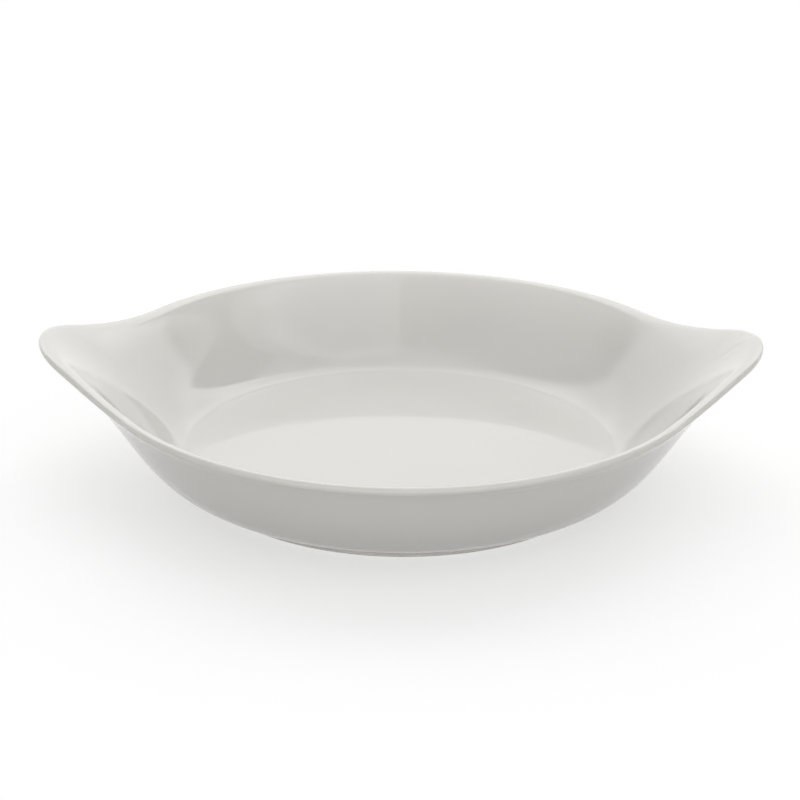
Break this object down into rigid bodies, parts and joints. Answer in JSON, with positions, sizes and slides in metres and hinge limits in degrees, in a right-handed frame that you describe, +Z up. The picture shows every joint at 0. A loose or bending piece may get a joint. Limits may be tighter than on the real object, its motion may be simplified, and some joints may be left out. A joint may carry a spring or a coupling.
{
  "type": "gratin dish",
  "caption": "Round, shallow glazed baking dish with its rim drawn out into rising ear handles, standing on a bare foot ring.",
  "frame": {"origin": "centre of the plane that the foot ring stands on", "axes": "+X through an ear along the dish's length, +Y across the dish, +Z up"},
  "size_m": [0.22, 0.1872, 0.0446],
  "materials": {
    "biscuit": "matte unglazed porcelain",
    "glaze": "clear gloss over white porcelain"
  },
  "bodies": {
    "root": {"porcelain_body": "biscuit", "glaze_coat": "glaze", "base_glaze": "glaze"}
  },
  "joints": []
}
